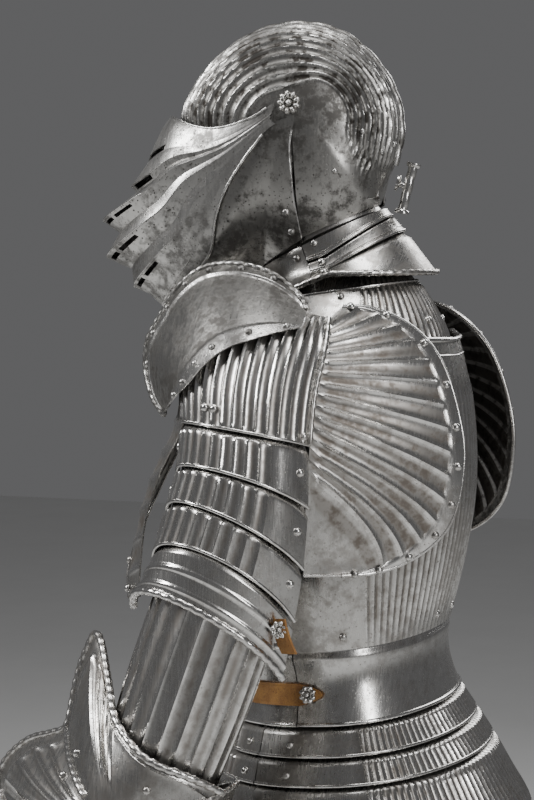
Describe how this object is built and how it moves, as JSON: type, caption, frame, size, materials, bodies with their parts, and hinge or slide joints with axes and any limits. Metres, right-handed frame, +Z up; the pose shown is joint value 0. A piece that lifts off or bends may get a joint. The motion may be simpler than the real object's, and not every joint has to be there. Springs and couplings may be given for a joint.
{
  "type": "suit of plate armour",
  "caption": "Fluted steel field armour in a worn pose: close helmet with bellows visor, haute-pieces, winged pauldrons, couters with roped wings, lames and leg harness.",
  "frame": {"origin": "middle of the base of the neck, on the level of the shoulders, where the wearer carries the suit", "axes": "+Z up, -Y the way the suit faces, +X the wearer's left"},
  "size_m": [0.658, 0.6935, 1.7254],
  "materials": {
    "steel": "polished steel with a dull patina in the hollows",
    "dark_steel": "older, pitted steel with a brown patina",
    "bright_steel": "bright polished steel",
    "leather": "worn ochre-brown strap leather"
  },
  "bodies": {
    "suit": {"helm_skull": "dark_steel", "helm_nape_1": "steel", "helm_nape_2": "steel", "helm_nape_3": "steel", "helm_rosette_l": "steel", "helm_rosette_r": "steel", "helm_plume_tube": "bright_steel", "gorget_collar": "steel", "gorget_lower": "dark_steel", "breastplate": "steel", "backplate": "steel", "waist_front": "bright_steel", "waist_back": "bright_steel", "fauld_1_front": "bright_steel", "fauld_1_back": "bright_steel", "fauld_2_front": "bright_steel", "fauld_2_back": "bright_steel", "fauld_3_front": "bright_steel", "fauld_3_back": "bright_steel", "tasset_l": "steel", "tasset_r": "steel", "waist_strap_l": "leather", "waist_strap_r": "leather", "pauldron_main_l": "steel", "pauldron_main_r": "steel", "pauldron_rear_wing_l": "steel", "pauldron_rear_wing_r": "steel", "pauldron_front_wing_l": "steel", "pauldron_front_wing_r": "steel", "haute_piece_l": "bright_steel", "haute_piece_r": "bright_steel", "pauldron_lame_1_l": "steel", "pauldron_lame_1_r": "steel", "pauldron_lame_2_l": "steel", "pauldron_lame_2_r": "steel", "pauldron_lame_3_l": "steel", "pauldron_lame_3_r": "steel", "pauldron_lame_4_l": "steel", "pauldron_lame_4_r": "steel", "upper_cannon_l": "bright_steel", "upper_cannon_r": "bright_steel", "couter_cap_l": "steel", "couter_cap_r": "steel", "couter_wing_l": "steel", "couter_wing_r": "steel", "lower_cannon_l": "steel", "lower_cannon_r": "steel", "gauntlet_l": "steel", "gauntlet_r": "steel", "cuisse_l": "steel", "cuisse_r": "steel", "poleyn_l": "bright_steel", "poleyn_r": "bright_steel", "greave_l": "steel", "greave_r": "steel", "sabaton_l": "steel", "sabaton_r": "steel"},
    "bevor": {"helm_bevor": "steel", "helm_bevor_lame": "steel"},
    "visor": {"helm_visor": "bright_steel"}
  },
  "joints": [
    {"name": "bevor_lift", "type": "hinge", "parent": "suit", "child": "bevor", "pos_m": [0, -0.0364, 0.2299], "axis": [-0.9848, -0.1736, 0], "range_deg": [0, 60]},
    {"name": "visor_lift", "type": "hinge", "parent": "bevor", "child": "visor", "pos_m": [0, -0.0364, 0.2299], "axis": [-0.9848, -0.1736, 0], "range_deg": [0, 55]}
  ]
}
